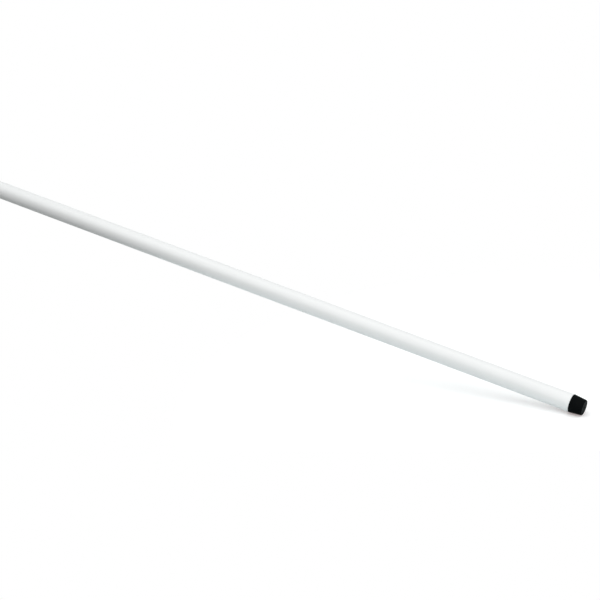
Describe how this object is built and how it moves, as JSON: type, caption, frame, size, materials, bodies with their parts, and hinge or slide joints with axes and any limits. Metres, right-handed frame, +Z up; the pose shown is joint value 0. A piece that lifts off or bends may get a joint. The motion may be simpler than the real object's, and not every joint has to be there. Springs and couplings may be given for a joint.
{
  "type": "roller extension pole",
  "caption": "Two-section twist-lock extension pole for a paint roller: white outer tube with a black tapered foot, thinner sliding tube and a coarse threaded tip.",
  "frame": {"origin": "centre of the foot plug's flat end face, on the pole's axis", "axes": "+X along the pole from the foot to the roller tip, +Z up with the pole lying down"},
  "size_m": [1.123, 0.0348, 0.0348],
  "materials": {
    "white_coat": "smooth satin-gloss white powder coat",
    "zinc_steel": "drawn, zinc-plated steel",
    "black_nylon": "fine moulded texture",
    "grey_nylon": "moulded, plain",
    "natural_nylon": "moulded, unpigmented",
    "bright_steel": "bright",
    "wiper_rubber": "matt"
  },
  "bodies": {
    "outer": {"outer_tube": "white_coat", "foot_plug": "black_nylon", "collar_sleeve": "black_nylon"},
    "clamp": {"clamp_ring": "grey_nylon"},
    "collar": {"lock_nut": "black_nylon", "wiper_ring": "wiper_rubber"},
    "guide": {"guide_ring_lower": "natural_nylon", "guide_ring_upper": "natural_nylon"},
    "inner": {"inner_tube": "zinc_steel", "end_plug": "black_nylon", "end_plug_pin": "bright_steel", "tip_adapter": "black_nylon", "tip_rivet": "bright_steel"}
  },
  "joints": [
    {"name": "clamp_slide", "type": "slide", "parent": "outer", "child": "clamp", "axis": [1, 0, 0], "range_m": [0, 0.00201]},
    {"name": "nut_turn", "type": "hinge", "parent": "clamp", "child": "collar", "pos_m": [1.02, 0, 0], "axis": [1, 0, 0], "range_deg": [0, 180]},
    {"name": "tube_slide", "type": "slide", "parent": "outer", "child": "guide", "axis": [1, 0, 0], "range_m": [0, 0.91]},
    {"name": "tube_turn", "type": "hinge", "parent": "guide", "child": "inner", "pos_m": [0.5, 0, 0], "axis": [1, 0, 0], "continuous": true}
  ],
  "couplings": [
    {"joint": "clamp_slide", "follows": "nut_turn", "m_per_rad": 0.00063662}
  ]
}
